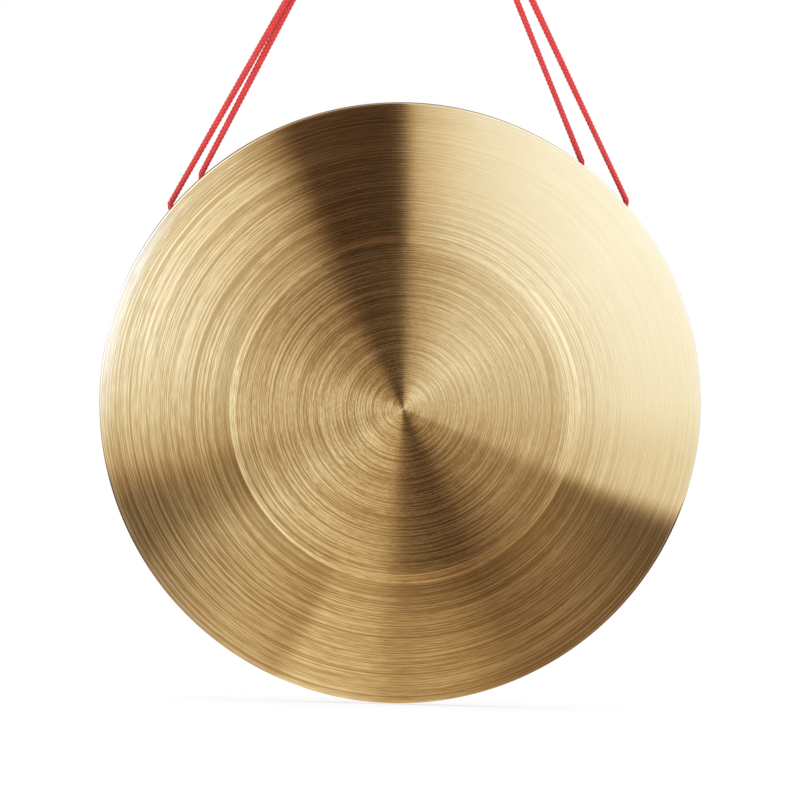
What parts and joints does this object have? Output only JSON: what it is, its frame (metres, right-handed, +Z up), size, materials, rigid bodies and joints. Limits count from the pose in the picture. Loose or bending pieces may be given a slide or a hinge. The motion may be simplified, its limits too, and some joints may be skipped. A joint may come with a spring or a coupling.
{
  "type": "hand gong",
  "caption": "Round brass gong with a raised flat centre and a turned-back rim, hung from a hook by a knotted red cord laced through holes in the rim.",
  "frame": {"origin": "the inside top of the hanging loop, where a hook holds it", "axes": "+Z up along the hanging cord, the gong's struck face looks along -Y, +X to the right as seen from the front"},
  "size_m": [0.3, 0.0481, 0.5182],
  "materials": {
    "brass": "brushed in circles about the centre",
    "red_cord": "round braid"
  },
  "bodies": {
    "hook_loop": {"hanging_loop": "red_cord"},
    "neck": {"neck_left": "red_cord", "neck_right": "red_cord"},
    "knot": {"cord_knot": "red_cord", "cord_tail_front": "red_cord", "cord_tail_back": "red_cord"},
    "strands": {"strand_left_outer": "red_cord", "strand_left_inner": "red_cord", "strand_right_inner": "red_cord", "strand_right_outer": "red_cord"},
    "gong": {"gong_plate": "brass", "lacing_left": "red_cord", "lacing_right": "red_cord"}
  },
  "joints": [
    {"name": "twist", "type": "hinge", "parent": "hook_loop", "child": "neck", "pos_m": [0, 0, -0.0255], "axis": [0, 0, 1], "range_deg": [-90, 90]},
    {"name": "sway", "type": "hinge", "parent": "neck", "child": "knot", "pos_m": [0, 0, -0.0436], "axis": [0, 1, 0], "range_deg": [-25, 25]},
    {"name": "swing", "type": "hinge", "parent": "knot", "child": "strands", "pos_m": [0, 0, -0.0436], "axis": [1, 0, 0], "range_deg": [-30, 30]},
    {"name": "tilt", "type": "hinge", "parent": "strands", "child": "gong", "pos_m": [0, 0, -0.25844], "axis": [0.9985, -0.0038, 0.0541], "range_deg": [-20, 20]}
  ]
}
